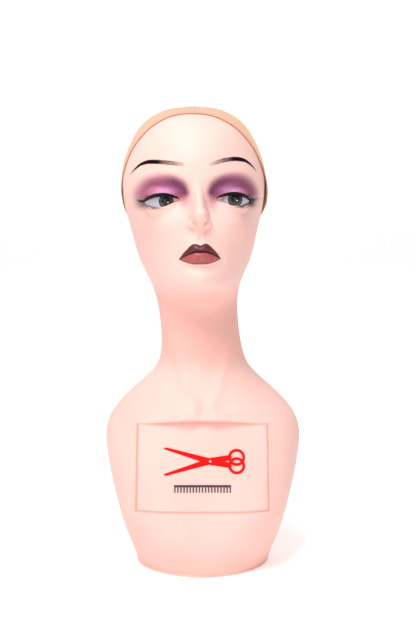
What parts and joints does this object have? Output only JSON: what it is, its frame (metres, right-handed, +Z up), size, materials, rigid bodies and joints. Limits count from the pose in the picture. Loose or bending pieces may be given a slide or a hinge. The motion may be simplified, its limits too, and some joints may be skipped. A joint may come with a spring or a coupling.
{
  "type": "mannequin training head",
  "caption": "Long-necked female mannequin bust with a painted face, false lashes, a recessed chest panel and a removable stretch wig cap.",
  "frame": {"origin": "on the table, in the middle of the non-slip pad under the base", "axes": "+Z up the neck to the crown; the bust faces -Y; +X is the mannequin's own left side, on the right as seen from the front. Left and right in node names are the mannequin's own."},
  "size_m": [0.214, 0.2075, 0.5024],
  "materials": {
    "shell": "pale pink moulded vinyl with a satin skin and painted make-up",
    "eye": "white eye with a painted iris under a clear gloss",
    "lash": "black synthetic lash fibre",
    "emblem_red": "red vinyl film",
    "emblem_grey": "dark grey vinyl film",
    "base": "salmon pink moulded plastic",
    "block": "off-white plastic",
    "screw": "zinc plated",
    "pad": "black foamed rubber",
    "cap_fabric": "fine tan stretch knit",
    "cap_binding": "narrow tan-brown elastic binding"
  },
  "bodies": {
    "bust": {"bust_shell": "shell", "left_eye": "eye", "right_eye": "eye", "left_upper_lashes": "lash", "right_upper_lashes": "lash", "left_lower_lashes": "lash", "right_lower_lashes": "lash", "emblem_scissors": "emblem_red", "emblem_comb": "emblem_grey", "base_plate": "base", "screw_blocks": "block", "base_screws": "screw", "non_slip_pad": "pad"},
    "wig_cap": {"cap_left_panel": "cap_fabric", "cap_right_panel": "cap_fabric", "cap_edge_band": "cap_binding"}
  },
  "joints": [
    {"name": "cap_pull", "type": "slide", "parent": "bust", "child": "wig_cap", "axis": [-0.0712, 0.6655, 0.743], "range_m": [0, 0.16]}
  ]
}
